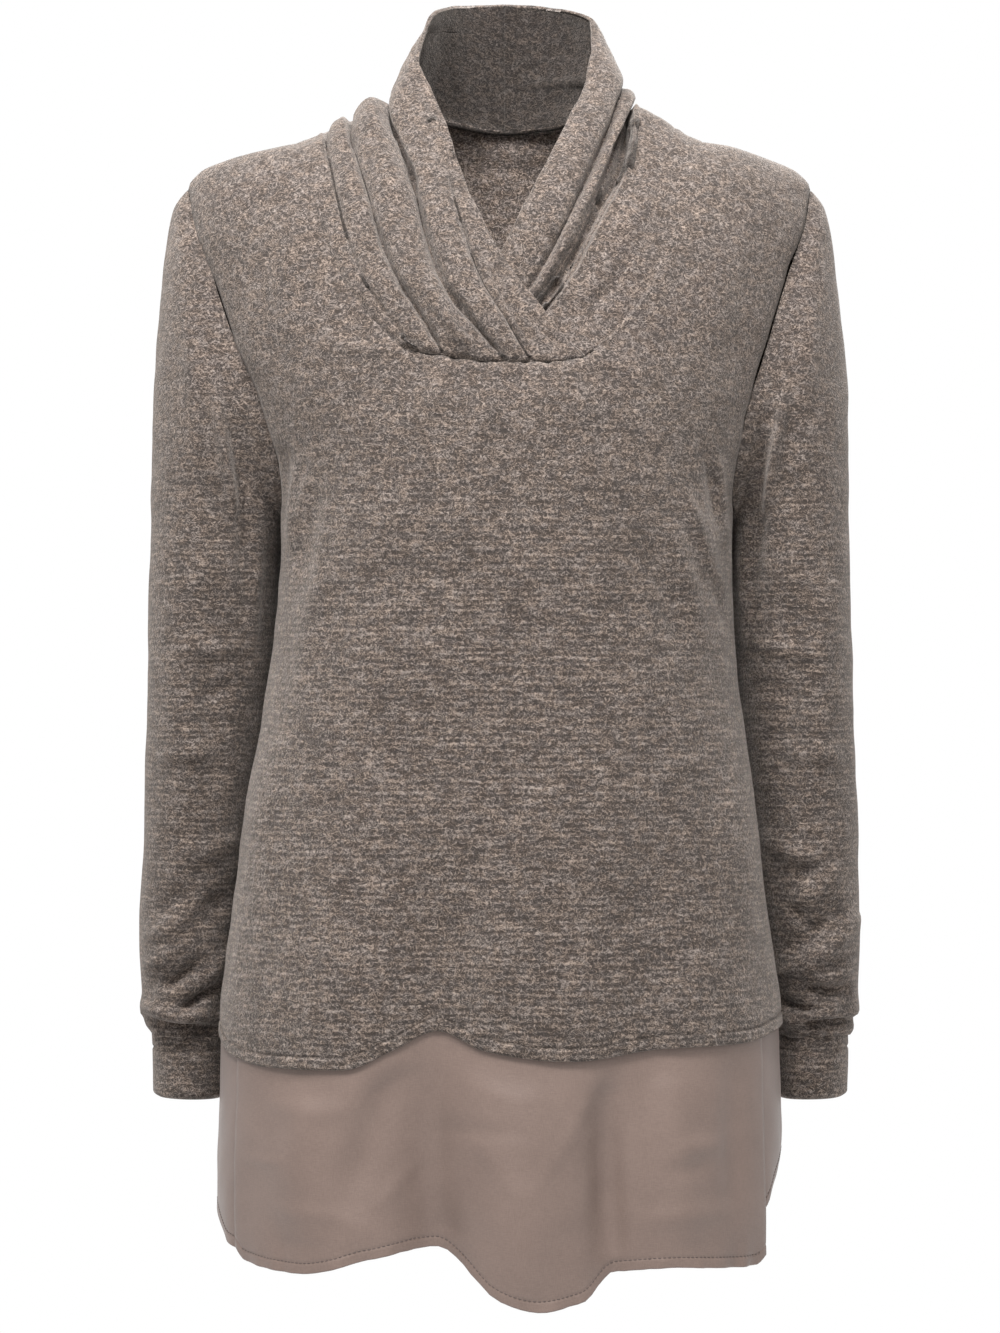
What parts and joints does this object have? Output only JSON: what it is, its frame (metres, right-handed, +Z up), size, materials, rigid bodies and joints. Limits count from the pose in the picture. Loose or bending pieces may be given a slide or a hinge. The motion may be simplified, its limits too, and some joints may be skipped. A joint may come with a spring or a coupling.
{
  "type": "cowl neck sweater",
  "caption": "Long-sleeved knit tunic sweater with a crossover gathered shawl collar and a woven shirt tail below the hem, filled out and hollow.",
  "frame": {"origin": "middle of the base of the neck, level with the back neck seam, where the wearer's neck and shoulders hold it up", "axes": "+Z up, -Y the way the wearer faces, +X to the wearer's left"},
  "size_m": [0.4866, 0.2457, 0.8593],
  "materials": {
    "knit": "matte marled knit",
    "woven": "smooth woven"
  },
  "bodies": {
    "root": {"front": "knit", "back": "knit", "cowl_right": "knit", "cowl_left": "knit", "sleeve_right": "knit", "sleeve_left": "knit", "cuff_right": "knit", "cuff_left": "knit", "hem_front": "woven", "hem_back": "woven"}
  },
  "joints": []
}
